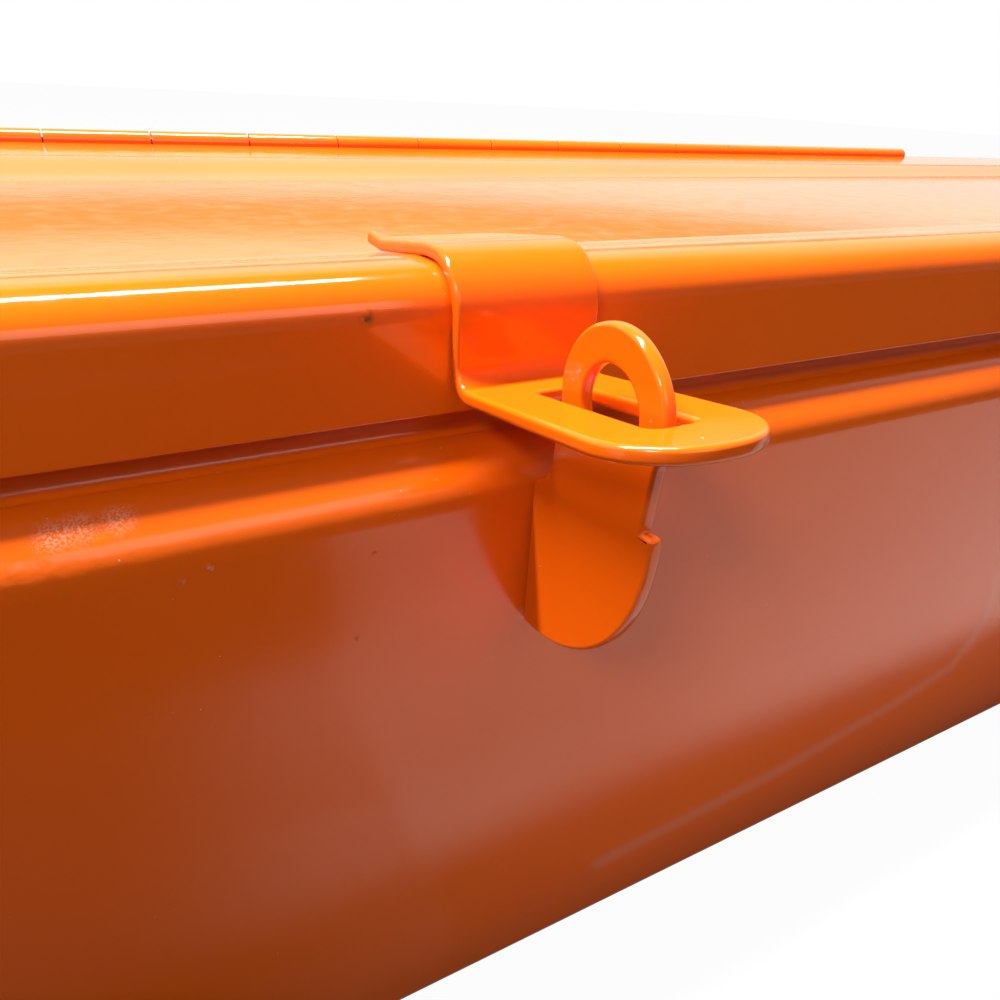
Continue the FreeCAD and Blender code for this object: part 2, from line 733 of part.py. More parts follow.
def make_rivets(label):
    """Four domed rivets through the plate, the wall and the doubler, in the plate's frame."""
    body = new_body(label)
    inner_face = -size.body_sheet - size.doubler_sheet
    shanks = new_sketch(body, "shank_side", "YZ_Plane", inner_face)
    inner_heads = new_sketch(body, "inner_head_side", "YZ_Plane", inner_face - size.rivet_head_height)
    outer_heads = new_sketch(body, "outer_head_side", "YZ_Plane", size.handle_plate_sheet)
    for along, up in rivet_places():
        small_round(shanks, along, up, size.rivet_radius)
        small_round(inner_heads, along, up, size.rivet_head_radius)
        small_round(outer_heads, along, up, size.rivet_head_radius)
    pad(body, "shanks", shanks, size.handle_plate_sheet - inner_face)
    pad(body, "inner_heads", inner_heads, size.rivet_head_height)
    pad(body, "outer_heads", outer_heads, size.rivet_head_height)
    head_face = (size.handle_plate_sheet + size.rivet_head_height).value
    bevel_edges(body, "crowns", size.rivet_head_height / 2,
                lambda edge: near(edge.BoundBox.XMin, head_face) and near(edge.BoundBox.XMax, head_face))
    return body


def make_doubler(label):
    """Flat plate inside the end wall that spreads the handle's pull, in the handle plate's frame."""
    body = new_body(label)
    plate = new_sketch(body, "plate_side", "YZ_Plane", -size.body_sheet - size.doubler_sheet)
    half_length = size.doubler_length / 2
    half_height = size.doubler_height / 2
    rectangle(plate, -half_length, -half_height, half_length, half_height)
    pad(body, "plate", plate, size.doubler_sheet)
    holes = new_sketch(body, "rivet_plan", "YZ_Plane", size.cut_overrun)
    for along, up in rivet_places():
        small_round(holes, along, up, size.rivet_radius)
    pocket(body, "rivet_holes", holes)
    return body


def make_handle(side, turn):
    """One end's handle set, turned to face out of its wall."""
    outwards = body_half_length if turn == 0 else -body_half_length
    handle = [
        make_handle_plate("handle_plate_" + side),
        make_bail("bail_" + side),
        make_rivets("handle_rivets_" + side),
        make_doubler("handle_doubler_" + side),
    ]
    for piece in handle:
        place(piece, x=outwards, z=size.handle_height, turn=turn)
    return handle


pieces = [
    make_body_shell(),
    make_base_plate(),
    make_lid_shell(),
    make_lid_rib(),
    make_hinge_lid_leaf(),
    make_hinge_body_leaf(),
    make_hinge_pin(),
    make_hasp_plate(),
    make_staple_plate(),
    make_staple_weld(),
]
pieces += make_handle("right", 0)
pieces += make_handle("left", 180)
doc.recompute()

for item in doc.Objects:
    if "Invalid" in item.State or "Error" in item.State:
        raise RuntimeError(item.Name + " failed: " + ", ".join(item.State))

os.makedirs("parts", exist_ok=True)
for piece in pieces:
    shape = piece.Shape
    if shape.isNull() or not shape.isValid():
        raise RuntimeError(piece.Label + " has no valid shape")
    shape.exportStep("parts/" + piece.Label + ".step")
    box = shape.BoundBox
    print(piece.Label, len(shape.Solids), round(shape.Volume, 1),
          [round(v, 2) for v in (box.XMin, box.YMin, box.ZMin, box.XMax, box.YMax, box.ZMax)])
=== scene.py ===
import bmesh
import bpy
import math
from mathutils import Euler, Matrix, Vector


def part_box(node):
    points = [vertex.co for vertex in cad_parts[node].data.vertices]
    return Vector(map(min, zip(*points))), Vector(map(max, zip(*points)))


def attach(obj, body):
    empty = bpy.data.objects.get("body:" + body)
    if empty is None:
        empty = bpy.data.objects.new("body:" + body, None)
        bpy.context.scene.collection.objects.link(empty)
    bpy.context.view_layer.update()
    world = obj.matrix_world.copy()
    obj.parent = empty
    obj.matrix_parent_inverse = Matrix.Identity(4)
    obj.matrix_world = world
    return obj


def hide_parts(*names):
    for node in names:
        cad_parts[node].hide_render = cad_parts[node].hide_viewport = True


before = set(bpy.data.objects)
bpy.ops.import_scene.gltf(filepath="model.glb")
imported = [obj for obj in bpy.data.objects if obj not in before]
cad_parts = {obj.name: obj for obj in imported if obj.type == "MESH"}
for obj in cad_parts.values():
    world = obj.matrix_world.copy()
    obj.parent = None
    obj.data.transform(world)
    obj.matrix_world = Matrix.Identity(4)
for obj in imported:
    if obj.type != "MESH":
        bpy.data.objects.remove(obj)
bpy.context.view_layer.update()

MM = 0.001

# Sizes of the pieces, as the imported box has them. The radii of the shoulder, the neck's root and the
# handle's bar, the skirt's spread, the lifted corner and the knuckles' roll are this model's own.
BODY_SHEET = 1.0 * MM
BODY_CORNER_RADIUS = 30.8 * MM
SHOULDER_RADIUS = 6.4 * MM
SHOULDER_HEIGHT = 92.2 * MM
NECK_INSET = 7.4 * MM
NECK_ROOT_RADIUS = 1.4 * MM
LID_SHEET = 1.0 * MM
LID_CORNER_RADIUS = 25.0 * MM
LID_FOLD_RADIUS = 5.0 * MM
SKIRT_SPREAD = 1.0 * MM
DISH_LAND = 7.0 * MM
DISH_SLOPE_WIDTH = 18.0 * MM
DISH_DEPTH = 2.6 * MM
DISH_REAR_LAND = 34.0 * MM
HASP_SHEET = 1.6 * MM
HASP_GAP = 0.15 * MM
HASP_FLAP_REACH = 24.0 * MM
HASP_BEND_DROP = 9.5 * MM
CORNER_LIFT = 1.1 * MM
CORNER_LIFT_REACH = 3.0 * MM
# How far the lifted corner moves to the side, as a share of its lift
CORNER_LEAN = 0.6
HASP_BEND_RADIUS = 2.0 * MM
TONGUE_TILT = math.radians(9.6)
TONGUE_LENGTH = 29.5 * MM
TONGUE_CORNER_RADIUS = 8.2 * MM
SLOT_START = 4.0 * MM
SLOT_LENGTH = 19.1 * MM
SLOT_WIDTH = 5.4 * MM
SLOT_CORNER_RADIUS = 1.2 * MM
EYE_REACH = 12.05 * MM
EYE_HEIGHT = 100.9 * MM
RING_RADIUS = 8.25 * MM
EYE_RADIUS = 4.45 * MM
NECK_INNER_REACH = 3.0 * MM
NECK_OUTER_REACH = 19.0 * MM
FOOT_RADIUS = 20.8 * MM
FOOT_CENTRE_HEIGHT = 89.5 * MM
FOOT_TIP_HEIGHT = 91.4 * MM
FOOT_NOTCH_HEIGHT = 90.2 * MM
FOOT_WALL_HEIGHT = 88.1 * MM
NECK_OVERLAP = 0.3 * MM
KNUCKLE_COUNT = 22
KNUCKLE_PITCH = 23.46 * MM
KNUCKLE_GAP = 0.3 * MM
LEAF_SHEET = 1.2 * MM
BARREL_RADIUS = 2.5 * MM
BARREL_GAP = 0.3 * MM
ROLL_ANGLE = 285.0
PIN_RADIUS = 1.25 * MM
BAIL_RADIUS = 3.4 * MM
BAIL_SPAN = 96.0 * MM
BAIL_DROP = 40.0 * MM
BAIL_BEND_RADIUS = 8.0 * MM
BAIL_INNER_END = 26.0 * MM
PIVOT_HEIGHT = 66.0 * MM

# How far the enamel rounds the cut edges of thick and thin sheet
THICK_EDGE_ROUND = 0.5 * MM
THIN_EDGE_ROUND = 0.3 * MM
KNUCKLE_EDGE_ROUND = 0.25 * MM

# Corners closer than these are one corner: in a new sheet, and after cuts
SHEET_MERGE = 0.01 * MM
CUT_MERGE = 0.02 * MM

# How far a cutter reaches past what it cuts, how far the trim covers a rear corner, and the room beside
# a hinge leaf in the lid's notch
CUT_OVERRUN = 4.0 * MM
TRIM_REACH = 30.0 * MM
NOTCH_SLACK = 0.5 * MM

# An edge longer than this in height is upright. A flat faces a direction, or is level, from these shares
# of its normal on.
UPRIGHT_EDGE = 1.0 * MM
FACING = 0.9
LEVEL = 0.9999

# How finely rounds are drawn: steps of a bend or slope, and sides of a round
CORNER_STEPS = 20
SHOULDER_STEPS = 8
NECK_ROOT_STEPS = 4
FOLD_STEPS = 10
DISH_STEPS = 9
HASP_BEND_STEPS = 12
TONGUE_CORNER_STEPS = 16
SLOT_CORNER_STEPS = 6
ROLL_STEPS = 24
BAIL_BEND_STEPS = 10
CORNER_SIDES = 96
FOOT_SIDES = 160
RING_SIDES = 128
EYE_SIDES = 96
PIN_SIDES = 32
BAR_SIDES = 32

# The painted reflection line on the front wall, the strength of the grey spots (dusting, and one painted
# reflection) and how deep a chip
REFLECTION_LINE_RADIUS = 3.0 * MM
REFLECTION_LINE_SHARE = 0.1
DUST_AND_REFLECTION_SHARE = 0.28
CHIP_DEPTH = 0.05 * MM

# The camera that took the photograph: place, heading, downward tilt, roll and lens
CAMERA_PLACE = (-43.02 * MM, -150.85 * MM, 127.22 * MM)
CAMERA_HEADING = 29.66
CAMERA_TILT = 27.95
CAMERA_ROLL = 3.28
CAMERA_LENS = 28.0
CAMERA_SENSOR = 36.0
CAMERA_NEAR = 0.005
CAMERA_FAR = 50.0

# The studio, in metres: dark cards that the enamel mirrors, a dark sheet on the floor that is a painted
# shadow seen in the enamel's reflections, and the floor
NEAR_CARD = ((-0.30, -0.19, 0.0), (0.0, -0.17, 0.09))
FAR_CARD = ((-0.1, -0.29, 0.0), (1.0, -0.27, 0.1))
SHADOW_SHEET = ((-0.35, -0.32, 0.0), (-0.005, -0.088, 0.0005))
SHADOW_SHEET_FADE = (-0.09, -0.01)
FLOOR_SIZE = 12.0
FLOOR_GLOW_SHARE = 0.92
FLOOR_GLOW = 1.05

# The world dims between these heights of a ray's direction, and brightens from front to rear
STRIP_START = (0.116, 0.130)
STRIP_END = (0.160, 0.176)
ZENITH = (0.6, 0.8)
REAR = (-0.25, 0.2)

# Each lamp: its name, its place, the point it shines at, its width and height in metres, its watts
LAMPS = [
    ("overhead_lamp", (-0.3, 0.25, 1.4), (-0.3, 0, 0.1), 1.4, 0.12, 94.0),
    ("left_lamp", (-0.40, -0.38, 0.50), (0.0, -0.08, 0.09), 0.14, 0.10, 1.2),
    ("front_lamp", (0.1, -0.9, 0.6), (0.0, -0.08, 0.05), 0.5, 0.3, 0.82),
]

lid_low, lid_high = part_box("lid_shell")
wall_low, wall_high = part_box("body_shell")
hasp_low, hasp_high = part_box("hasp_plate")
staple_low, staple_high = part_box("staple_plate")
pin_middle = sum(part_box("hinge_pin"), Vector()) / 2


class Wire:
    """A value that runs between nodes. Sums on wires add Math nodes."""

    def __init__(self, graph, socket):
        self.graph = graph
        self.socket = socket

    def math(self, operation, first, second):
        return self.graph.math(operation, first, second)

    def __add__(self, other):
        return self.math("ADD", self, other)

    def __radd__(self, other):
        return self.math("ADD", other, self)

    def __sub__(self, other):
        return self.math("SUBTRACT", self, other)

    def __rsub__(self, other):
        return self.math("SUBTRACT", other, self)

    def __mul__(self, other):
        return self.math("MULTIPLY", self, other)

    def __rmul__(self, other):
        return self.math("MULTIPLY", other, self)


class Graph:
    """The nodes of one material or world."""

    def __init__(self, tree):
        self.tree = tree
        self.tree.nodes.clear()

    def add(self, kind, settings=None, sockets=None, output=0):
        """A node of that type with its settings, its sockets' values or wires, and one output."""
        node = self.tree.nodes.new(kind)
        for name, value in (settings or {}).items():
            setattr(node, name, value)
        for name, value in (sockets or {}).items():
            if isinstance(value, Wire):
                self.tree.links.new(value.socket, node.inputs[name])
            else:
                node.inputs[name].default_value = value
        return Wire(self, node.outputs[output]) if node.outputs else None

    def math(self, operation, first, second):
        return self.add("ShaderNodeMath", {"operation": operation}, {0: first, 1: second})

    def mix(self, factor, first, second):
        """Goes from the first colour to the second with the factor."""
        return self.add("ShaderNodeMix", {"data_type": "RGBA"}, {0: factor, 6: first, 7: second}, 2)

    def noise(self, place, scale, detail=2.0):
        return self.add("ShaderNodeTexNoise", {}, {"Vector": place, "Scale": scale, "Detail": detail})

    def ease(self, value, low, high):
        """0 below the low value, 1 above the high one, smooth between them."""
        settings = {"interpolation_type": "SMOOTHSTEP"}
        return self.add("ShaderNodeMapRange", settings, {"Value": value, "From Min": low, "From Max": high})

    def away_from(self, place, point):
        """Distance of the surface from a point of the box, in metres."""
        return self.add("ShaderNodeVectorMath", {"operation": "DISTANCE"}, {0: place, 1: point}, 1)

    def near(self, place, point, radius):
        """1 at a point of the box, falling to 0 at that radius."""
        return 1.0 - self.ease(self.away_from(place, point), 0.0, radius)

    def near_line(self, place, first, second, radius):
        """1 on the straight line between two points of the box, falling to 0 at that radius."""
        first, run = Vector(first), Vector(second) - Vector(first)
        offset = self.add("ShaderNodeVectorMath", {"operation": "SUBTRACT"}, {0: place, 1: first})
        per_length = run / run.length_squared
        share = self.add("ShaderNodeVectorMath", {"operation": "DOT_PRODUCT"}, {0: offset, 1: per_length}, 1)
        share = self.add("ShaderNodeClamp", {}, {"Value": share})
        foot = self.add("ShaderNodeVectorMath", {"operation": "SCALE"}, {0: run, "Scale": share})
        return self.near(offset, foot, radius)


def colour(red, green, blue):
    return (red, green, blue, 1.0)


ENAMEL_ORANGE = colour(0.87, 0.125, 0.002)
ENAMEL_DEEP = colour(0.83, 0.112, 0.002)
DUST_AND_REFLECTION_GREY = colour(0.75, 0.68, 0.6)
CHIP_BROWN = colour(0.12, 0.045, 0.012)
FLOOR_REFLECTION_GREY = colour(0.40, 0.33, 0.25)
STEEL_GREY = colour(0.16, 0.15, 0.14)
STEEL_DARK = colour(0.1, 0.09, 0.08)
WHITE = colour(1.0, 1.0, 1.0)
DOME_PALE = colour(0.88, 0.88, 0.88)
DOME_DIM = colour(0.08, 0.08, 0.09)
FRONT_DIM = colour(0.16, 0.16, 0.17)
FLOOR_GREY = colour(0.26, 0.26, 0.26)
CARD_AND_SHADOW_BLACK = colour(0.03, 0.03, 0.03)


def new_material(name):
    material = bpy.data.materials.new(name)
    material.use_nodes = True
    return material, Graph(material.node_tree)


def enamel(name, peel, gloss, specks=0.0, rough_patch=None, dust_and_reflection=(), nibs=(), chips=(), line=(),
           floor_reflection_height=None):
    """Glossy orange stove enamel with its orange peel, grey dusting, marks and painted reflections.

    Nibs are (point, radius, height), spots and chips (point, radius), the line a row of points. The spots
    are grey dusting and painted reflection spots, the line is a painted reflection, and the surface's lowest
    part is greyed as a painted reflection of the floor.
    """
    material, graph = new_material(name)
    place = graph.add("ShaderNodeTexCoord", output="Object")
    cloud = graph.noise(place, 18.0, 2.0)
    mottle = graph.noise(place, 260.0, 2.0)
    base = graph.mix(graph.ease(cloud, 0.3, 0.75), ENAMEL_ORANGE, ENAMEL_DEEP)
    base = graph.mix(graph.ease(mottle, 0.62, 0.8) * 0.25, base, ENAMEL_DEEP)
    grain = graph.noise(place, 1500.0, 1.0)
    patches = graph.noise(place, 60.0, 2.0)
    dust_and_reflection_mask = graph.ease(grain, 0.79 - specks, 0.83 - specks) * graph.ease(patches, 0.5, 0.6) * 0.5
    # Grey spots with a fine grain: dusting, and painted reflection spots
    for point, radius in dust_and_reflection:
        speckle = graph.ease(graph.noise(place, 4500.0), 0.42, 0.6)
        dust_and_reflection_mask = dust_and_reflection_mask + graph.near(place, point, radius) * speckle * DUST_AND_REFLECTION_SHARE
    # The line: a pale painted reflection along the front wall
    for first, second in zip(line, line[1:]):
        painted_reflection_line = graph.near_line(place, first, second, REFLECTION_LINE_RADIUS) * REFLECTION_LINE_SHARE
        dust_and_reflection_mask = graph.math("MAXIMUM", dust_and_reflection_mask, painted_reflection_line)
    # Grey dusting and painted reflections mixed into the colour
    base = graph.mix(dust_and_reflection_mask, base, DUST_AND_REFLECTION_GREY)
    fine_height = graph.noise(place, 520.0, 2.0) * peel
    if rough_patch:
        fine_height = fine_height * (graph.near(place, *rough_patch) * 4.0 + 1.0)
    height = graph.noise(place, 75.0, 1.0) * (3.0 * peel) + fine_height
    for point, radius, lift in nibs:
        height = height + graph.near(place, point, radius) * lift
    for point, radius in chips:
        chip = graph.near(place, point, radius) * graph.ease(graph.noise(place, 900.0), 0.35, 0.6)
        base = graph.mix(chip, base, CHIP_BROWN)
        height = height - chip * CHIP_DEPTH
    # The lowest part greyed: a painted reflection of the floor along the bottom edge
    if floor_reflection_height:
        level = graph.add("ShaderNodeSeparateXYZ", {}, {0: place}, 2)
        base = graph.mix(1.0 - graph.ease(level, 0.4 * floor_reflection_height, floor_reflection_height), base, FLOOR_REFLECTION_GREY)
    roughness = gloss + graph.ease(mottle, 0.4, 0.8) * 0.05 + dust_and_reflection_mask * 0.3
    bump = graph.add("ShaderNodeBump", {}, {"Strength": 1.0, "Distance": 1.0, "Height": height}, "Normal")
    shader = graph.add("ShaderNodeBsdfPrincipled", {}, {
        "Base Color": base,
        "Roughness": roughness,
        "IOR": 1.5,
        "Normal": bump,
    })
    graph.add("ShaderNodeOutputMaterial", {}, {"Surface": shader})
    return material


def pin_steel():
    """Bare drawn wire, a little dull."""
    material, graph = new_material("pin_steel")
    place = graph.add("ShaderNodeTexCoord", output="Object")
    stretch = graph.add("ShaderNodeMapping", {}, {"Vector": place, "Scale": (0.05, 1.0, 1.0)})
    lines = graph.noise(stretch, 2500.0, 2.0)
    base = graph.mix(lines, STEEL_GREY, STEEL_DARK)
    shader = graph.add("ShaderNodeBsdfPrincipled", {}, {
        "Base Color": base,
        "Metallic": 1.0,
        "Roughness": lines * 0.2 + 0.25,
    })
    graph.add("ShaderNodeOutputMaterial", {}, {"Surface": shader})
    return material


def deselect_all():
    if bpy.context.object and bpy.context.object.mode != "OBJECT":
        bpy.ops.object.mode_set(mode="OBJECT")
    bpy.ops.object.select_all(action="DESELECT")


def choose(piece):
    """Makes the piece the only selected one."""
    deselect_all()
    bpy.context.view_layer.objects.active = piece
    piece.select_set(True)


def add_box(name, low, high):
    """A block between two corners, selected and active."""
    deselect_all()
    low, high = Vector(low), Vector(high)
    bpy.ops.mesh.primitive_cube_add(size=1.0, location=(low + high) / 2)
    piece = bpy.context.object
    piece.name = name
    piece.scale = high - low
    bpy.ops.object.transform_apply(location=True, rotation=True, scale=True)
    return piece


def add_disc(name, centre, radius, thickness, sides):
    """A round plate whose axis is X."""
    deselect_all()
    bpy.ops.mesh.primitive_cylinder_add(vertices=sides, radius=radius, depth=thickness, location=centre,
                                        rotation=(0, math.pi / 2, 0))
    piece = bpy.context.object
    piece.name = name
    bpy.ops.object.transform_apply(location=True, rotation=True, scale=True)
    return piece


def edit(piece, mode="EDGE"):
    """Opens the piece in edit mode with nothing selected."""
    choose(piece)
    bpy.ops.object.mode_set(mode="EDIT")
    bpy.ops.mesh.select_mode(type=mode)
    bpy.ops.mesh.select_all(action="DESELECT")


def pick_faces(piece, test):
    mesh = bmesh.from_edit_mesh(piece.data)
    for face in mesh.faces:
        face.select_set(test(face.calc_center_median(), face.normal))
    bmesh.update_edit_mesh(piece.data)


def pick_edges(piece, test):
    """Selects the edges whose two ends pass the test."""
    mesh = bmesh.from_edit_mesh(piece.data)
    for edge in mesh.edges:
        first, second = edge.verts
        edge.select_set(test(first.co, second.co))
    mesh.select_flush(False)
    bmesh.update_edit_mesh(piece.data)


def pick_corners(piece, test):
    mesh = bmesh.from_edit_mesh(piece.data)
    for vertex in mesh.verts:
        vertex.select_set(test(vertex.co))
    mesh.select_flush(True)
    bmesh.update_edit_mesh(piece.data)


def leave_edit():
    bpy.ops.object.mode_set(mode="OBJECT")


def apply_modifier(piece, kind, **settings):
    choose(piece)
    modifier = piece.modifiers.new(kind.lower(), kind)
    for name, value in settings.items():
        setattr(modifier, name, value)
    bpy.ops.object.modifier_apply(modifier=modifier.name)


def carve(piece, cutter, operation="DIFFERENCE"):
    """Cuts with, joins or keeps only what lies in another solid, which is then gone."""
    apply_modifier(piece, "BOOLEAN", operation=operation, object=cutter, solver="EXACT")
    bpy.data.objects.remove(cutter, do_unlink=True)


def thicken(piece, sheet):
    """Gives a surface the thickness of its sheet, on the inner side."""
    bpy.ops.mesh.select_mode(type="VERT")
    bpy.ops.mesh.select_all(action="SELECT")
    bpy.ops.mesh.remove_doubles(threshold=SHEET_MERGE)
    leave_edit()
    apply_modifier(piece, "SOLIDIFY", thickness=sheet, offset=-1.0)


def join_flats(piece):
    """Merges the doubled corners and split flats that cuts leave, so that edges round evenly."""
    edit(piece, "VERT")
    bpy.ops.mesh.select_all(action="SELECT")
    bpy.ops.mesh.remove_doubles(threshold=CUT_MERGE)
    bpy.ops.mesh.dissolve_limited(angle_limit=math.radians(1.0))
    leave_edit()


def smooth(piece, angle=40.0):
    """Smooth shading with flats kept flat beside their rounded edges."""
    choose(piece)
    bpy.ops.object.shade_smooth_by_angle(angle=math.radians(angle))
    apply_modifier(piece, "WEIGHTED_NORMAL", mode="FACE_AREA", weight=100, keep_sharp=True)


def round_cut_edges(piece, width, segments=3, angle=50.0):
    apply_modifier(piece, "BEVEL", width=width, segments=segments, limit_method="ANGLE",
                   angle_limit=math.radians(angle), use_clamp_overlap=False)


def finish_piece(piece, body, nodes, material):
    piece.data.materials.clear()
    piece.data.materials.append(material)
    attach(piece, body)
    if nodes:
        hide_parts(*nodes)


def close_to(value, target, slack=CUT_MERGE):
    return abs(value - target) < slack


def make_body(material):
    """Body wall from one sheet: upright sides, a rounded shoulder and a set-in neck."""
    wall = add_box("body_wall", wall_low, (wall_high.x, wall_high.y, SHOULDER_HEIGHT))
    edit(wall, "FACE")
    pick_faces(wall, lambda centre, normal: normal.z < -FACING)
    bpy.ops.mesh.delete(type="FACE")
    bpy.ops.mesh.select_mode(type="EDGE")
    pick_edges(wall, lambda a, b: abs(a.z - b.z) > UPRIGHT_EDGE)
    bpy.ops.mesh.bevel(offset=BODY_CORNER_RADIUS, segments=CORNER_STEPS, affect="EDGES")
    pick_edges(wall, lambda a, b: close_to(a.z, SHOULDER_HEIGHT) and close_to(b.z, SHOULDER_HEIGHT))
    bpy.ops.mesh.bevel(offset=SHOULDER_RADIUS, segments=SHOULDER_STEPS, affect="EDGES")
    bpy.ops.mesh.select_mode(type="FACE")
    pick_faces(wall, lambda centre, normal: normal.z > LEVEL and close_to(centre.z, SHOULDER_HEIGHT))
    bpy.ops.mesh.inset(thickness=NECK_INSET - SHOULDER_RADIUS, depth=0)
    rise = wall_high.z - SHOULDER_HEIGHT
    bpy.ops.mesh.extrude_region_move(TRANSFORM_OT_translate={"value": (0, 0, rise)})
    bpy.ops.mesh.delete(type="FACE")
    bpy.ops.mesh.select_mode(type="EDGE")
    reach_x = wall_high.x - NECK_INSET + 0.1 * MM
    reach_y = wall_high.y - NECK_INSET + 0.1 * MM
    pick_edges(wall, lambda a, b: close_to(a.z, SHOULDER_HEIGHT) and close_to(b.z, SHOULDER_HEIGHT)
               and max(abs(a.x), abs(b.x)) < reach_x and max(abs(a.y), abs(b.y)) < reach_y)
    bpy.ops.mesh.bevel(offset=NECK_ROOT_RADIUS, segments=NECK_ROOT_STEPS, affect="EDGES")
    thicken(wall, BODY_SHEET)
    round_cut_edges(wall, THIN_EDGE_ROUND)
    smooth(wall)
    finish_piece(wall, "box", ["body_shell"], material)


def dish_steps(count):
    """Even steps across the dish's slope, each with its share of the fall, gentle at both ends."""
    fallen = 0.0
    for step in range(1, count + 1):
        share = (1 - math.cos(math.pi * step / count)) / 2
        yield share - fallen
        fallen = share


def make_lid(material):
    """Lid pressed from one sheet, with its folded skirt, dished top and trimmed rear edge."""
    lid = add_box("lid", lid_low, lid_high)
    edit(lid, "FACE")
    pick_faces(lid, lambda centre, normal: normal.z < -FACING or normal.y > FACING)
    bpy.ops.mesh.delete(type="FACE")
    bpy.ops.mesh.select_mode(type="EDGE")
    pick_edges(lid, lambda a, b: abs(a.z - b.z) > UPRIGHT_EDGE and a.y < 0)
    bpy.ops.mesh.bevel(offset=LID_CORNER_RADIUS, segments=CORNER_STEPS, affect="EDGES")
    pick_edges(lid, lambda a, b: close_to(a.z, lid_high.z) and close_to(b.z, lid_high.z)
               and not (close_to(a.y, lid_high.y) and close_to(b.y, lid_high.y)))
    bpy.ops.mesh.bevel(offset=LID_FOLD_RADIUS, segments=FOLD_STEPS, affect="EDGES")
    bpy.ops.mesh.select_mode(type="FACE")
    pick_faces(lid, lambda centre, normal: normal.z > LEVEL)
    bpy.ops.mesh.inset(thickness=DISH_LAND - LID_FOLD_RADIUS, depth=0, use_individual=True)
    bpy.ops.mesh.select_mode(type="VERT")
    inner_rear = lid_high.y - (DISH_LAND - LID_FOLD_RADIUS)
    pick_corners(lid, lambda place: close_to(place.y, inner_rear))
    bpy.ops.transform.translate(value=(0, lid_high.y - DISH_REAR_LAND - inner_rear, 0))
    bpy.ops.mesh.select_mode(type="FACE")
    pick_faces(lid, lambda centre, normal: normal.z > LEVEL and abs(centre.x) < 1 * MM
               and centre.y < lid_high.y - DISH_REAR_LAND and centre.y > lid_low.y + DISH_LAND)
    for fall in dish_steps(DISH_STEPS):
        bpy.ops.mesh.inset(thickness=DISH_SLOPE_WIDTH / DISH_STEPS, depth=0, use_individual=True)
        bpy.ops.transform.translate(value=(0, 0, -DISH_DEPTH * fall))
    bpy.ops.mesh.select_mode(type="VERT")
    pick_corners(lid, lambda place: close_to(place.z, lid_low.z))
    half_x, half_y = lid_high.x, (lid_high.y - lid_low.y) / 2
    spread = ((half_x + SKIRT_SPREAD) / half_x, (half_y + SKIRT_SPREAD) / half_y, 1)
    bpy.ops.transform.resize(value=spread, center_override=(0, lid_high.y - half_y, lid_low.z))
    thicken(lid, LID_SHEET)
    corner_start = lid_high.y - LID_CORNER_RADIUS
    past_x, past_y, past_z = (edge + CUT_OVERRUN for edge in lid_high)
    carve(lid, add_box("skirt_trim", (lid_low.x - CUT_OVERRUN, corner_start, lid_low.z - CUT_OVERRUN),
                       (past_x, past_y, lid_high.z - LID_FOLD_RADIUS)))
    for side in (1, -1):
        centre = Vector(((lid_high.x - LID_CORNER_RADIUS) * side, corner_start, lid_high.z))
        left, right = sorted((centre.x, centre.x + TRIM_REACH * side))
        trim = add_box("corner_trim", (left, corner_start, lid_low.z),
                       (right, corner_start + TRIM_REACH, past_z))
        deselect_all()
        bpy.ops.mesh.primitive_cylinder_add(vertices=CORNER_SIDES, radius=LID_CORNER_RADIUS,
                                            depth=2 * TRIM_REACH, location=centre)
        carve(trim, bpy.context.object)
        carve(lid, trim)
    leaf_low, leaf_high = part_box("hinge_lid_leaf")
    notch_front = leaf_high.y - 2 * BARREL_RADIUS - BARREL_GAP
    carve(lid, add_box("hinge_trim", (leaf_low.x - NOTCH_SLACK, notch_front, lid_low.z),
                       (leaf_high.x + NOTCH_SLACK, past_y, past_z)))
    round_cut_edges(lid, THIN_EDGE_ROUND)
    smooth(lid)
    finish_piece(lid, "lid", ["lid_shell"], material)


